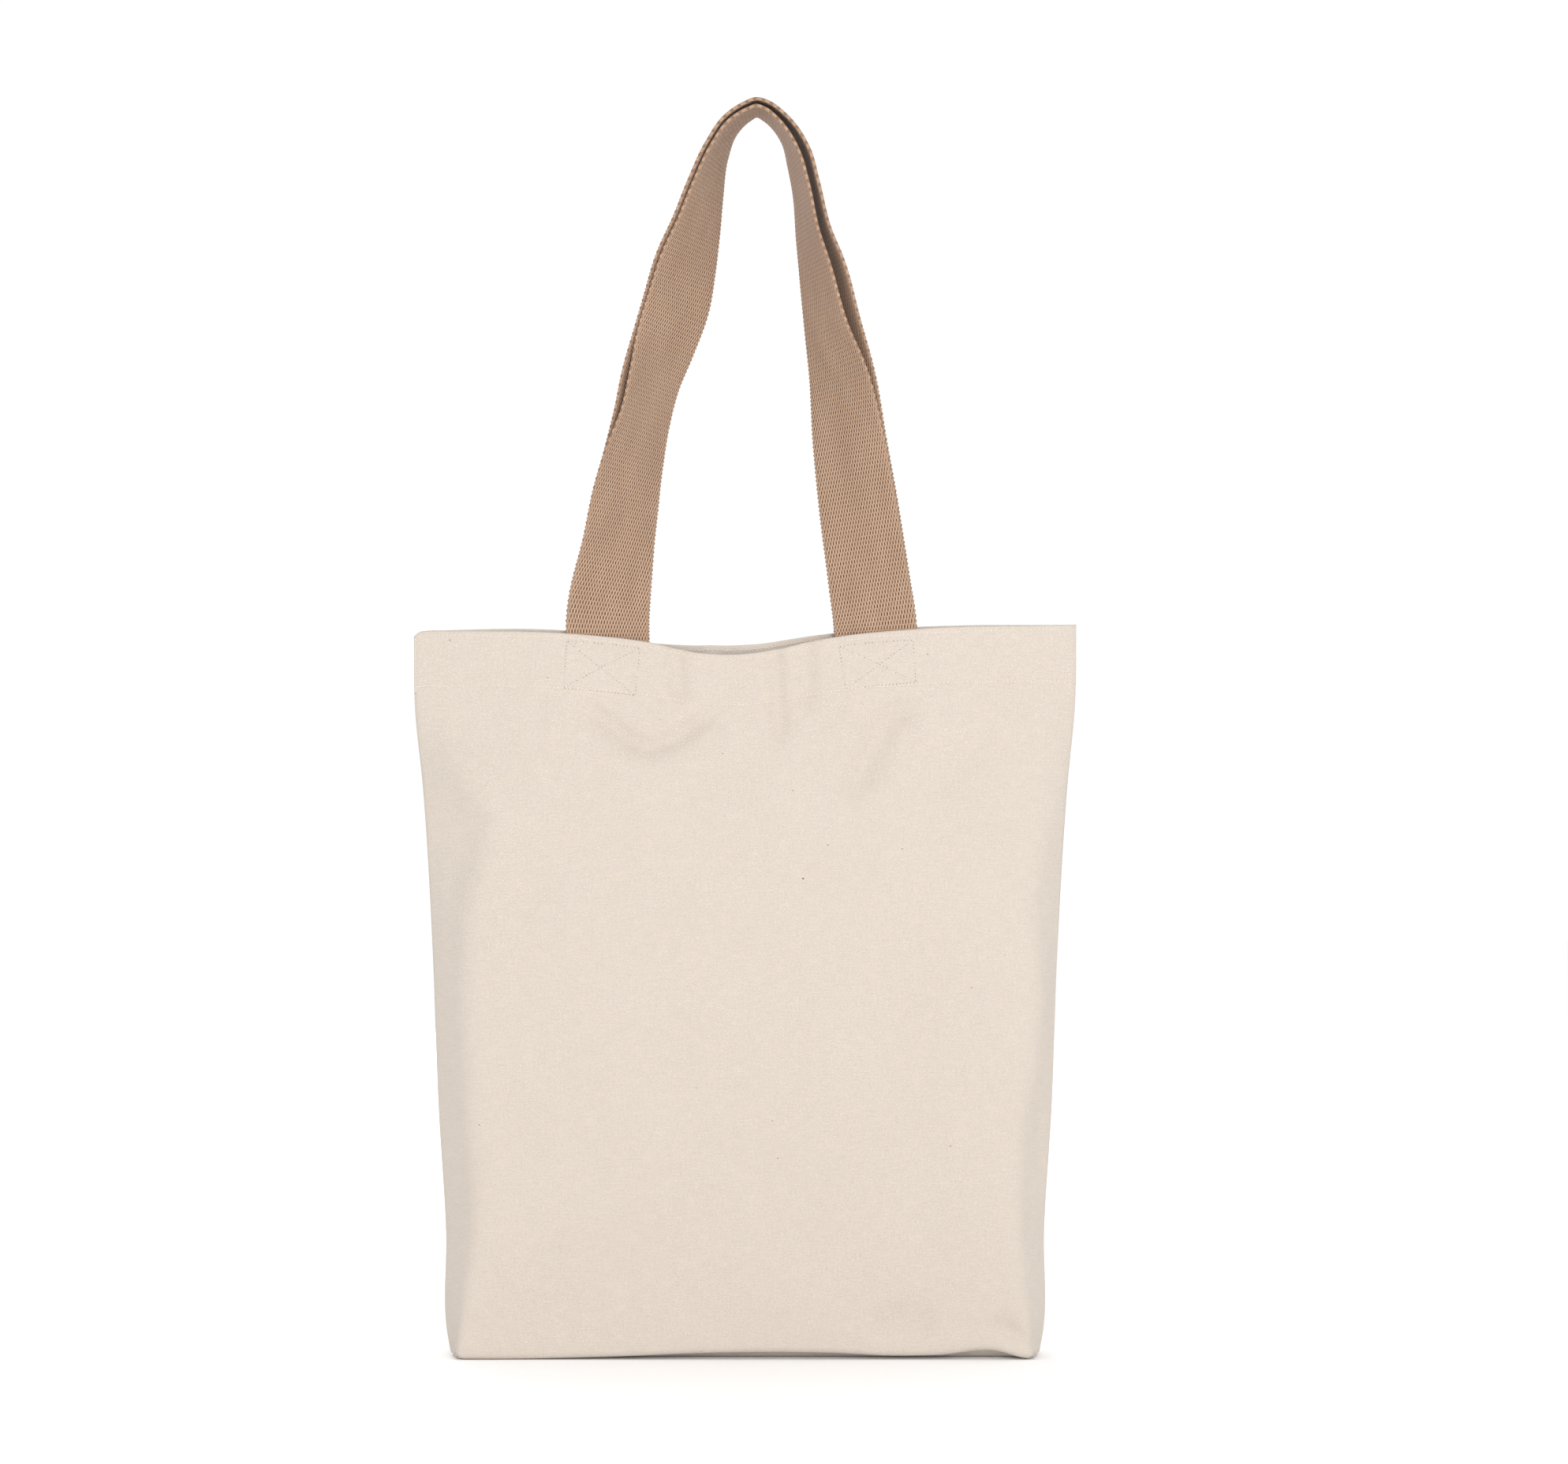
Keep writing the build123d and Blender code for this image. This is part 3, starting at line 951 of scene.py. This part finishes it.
def make_handle(name, wall, seed, nodes):
    """One strap from its sewn end, over the top and down to the other sewn end."""
    centre, turn, gap, slide = strap_line(0.85)
    run = unit(np.gradient(centre, axis=0))
    sideways = unit(np.stack([-run[:, 2], np.zeros(len(run)), run[:, 0]], axis=1))
    toward = np.array([0.0, -1.0, 0.0])
    wide = np.cos(turn)[:, None] * sideways + np.sin(turn)[:, None] * toward
    wide = unit(wide - (wide * run).sum(axis=1, keepdims=True) * run)
    face = np.cos(turn)[:, None] * toward - np.sin(turn)[:, None] * sideways
    face = unit(face - (face * run).sum(axis=1, keepdims=True) * run)
    if wall.facing > 0:
        centre = centre - face * gap[:, None] + wide * slide[:, None]
    length = np.concatenate([[0], np.cumsum(np.linalg.norm(np.diff(centre, axis=0), axis=1))])
    section = strap_section()
    across, through = section[:, 0][None, :], section[:, 1][None, :]
    scallop = selvedge_depth * np.cos(2 * math.pi * length / selvedge_pitch)[:, None]
    at_edge = smoothstep((np.abs(across) - webbing_width / 2 + 2.5) / 2.5)
    across = across + np.sign(across) * scallop * at_edge
    free = smoothstep((centre[:, 2] - mouth_height - 10) / 60)[:, None]
    cup = 0.35 * waves(across, length[:, None], seed, 160, 60) * free
    cup = cup + 0.5 * free * (np.abs(across) / (webbing_width / 2)) ** 2
    through = through + cup
    points = centre[:, None, :] + across[..., None] * wide[:, None, :] + through[..., None] * face[:, None, :]
    behind_hem = wall.at(points[..., 0], points[..., 2])[0][..., 1]
    behind_hem = behind_hem - wall.facing * (hem_thickness + strap_thickness / 2 + 0.1)
    sewn = smoothstep((mouth_height - 3 - points[..., 2]) / 8)
    sewn_y = behind_hem + through * face[:, None, 1]
    points[..., 1] = points[..., 1] * (1 - sewn) + sewn_y * sewn
    stations, around = points.shape[:2]
    faces = grid_faces(stations, around, tube=True)
    faces.append(tuple(range(around - 1, -1, -1)))
    faces.append(tuple(range((stations - 1) * around, stations * around)))
    uv = np.stack(np.broadcast_arrays(section[:, 0][None, :] + webbing_width, length[:, None]), axis=-1)
    piece = make_mesh(name, points.reshape(-1, 3), faces, webbing, uv.reshape(-1, 2) * MM)
    weld(piece)
    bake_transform(piece)
    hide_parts(*nodes)
    return piece


for label, wall in (("front", front), ("back", back)):
    make_handle(
        f"{label}_handle_webbing",
        wall,
        SEED + 60 + wall.facing,
        [f"{label}_handle", f"{label}_left_handle_end", f"{label}_right_handle_end"],
    )


# ---- floor, light and camera, in metres ------------------------------------------------------------
floor_half_size = 6.0
floor_white = 0.97
world_strength = 1.03
camera_lens = 114.08
camera_place = (0.0235, -3.0, 0.376)
light_aim = (0, 0, 0.3)
light_size = 1.2


def make_stage():
    size = floor_half_size / MM
    corners = np.array([(-size, -size, 0), (size, -size, 0), (size, size, 0), (-size, size, 0)])
    white = bpy.data.materials.new("white_floor")
    white.use_nodes = True
    shader = white.node_tree.nodes["Principled BSDF"]
    shader.inputs["Base Color"].default_value = (floor_white, floor_white, floor_white, 1)
    shader.inputs["Roughness"].default_value = 0.9
    shader.inputs["Specular IOR Level"].default_value = 0.1
    make_mesh("studio_floor", corners, [(0, 1, 2, 3)], white)

    world = bpy.data.worlds.new("studio")
    bpy.context.scene.world = world
    world.use_nodes = True
    world.node_tree.nodes["Background"].inputs["Color"].default_value = (1, 1, 1, 1)
    world.node_tree.nodes["Background"].inputs["Strength"].default_value = world_strength


def soft_light(name, place, power):
    data = bpy.data.lights.new(name, "AREA")
    data.shape = "DISK"
    data.size = light_size
    data.energy = power
    light = bpy.data.objects.new(name, data)
    light.location = place
    way = np.array(light_aim) - np.array(place)
    light.rotation_mode = "QUATERNION"
    light.rotation_quaternion = Vector(way).to_track_quat("-Z", "Y")
    bpy.context.scene.collection.objects.link(light)


def make_camera():
    data = bpy.data.cameras.new("camera")
    data.sensor_width = 36
    data.lens = camera_lens
    camera = bpy.data.objects.new("camera", data)
    camera.location = camera_place
    camera.rotation_euler = (math.pi / 2, 0, 0)
    bpy.context.scene.collection.objects.link(camera)
    bpy.context.scene.camera = camera


make_stage()
soft_light("key", (0.5, -3.2, 0.7), power=46)
soft_light("back_fill", (-0.9, 3.0, 0.9), power=24)
make_camera()
bpy.context.scene.view_settings.view_transform = "Standard"

bpy.context.view_layer.update()
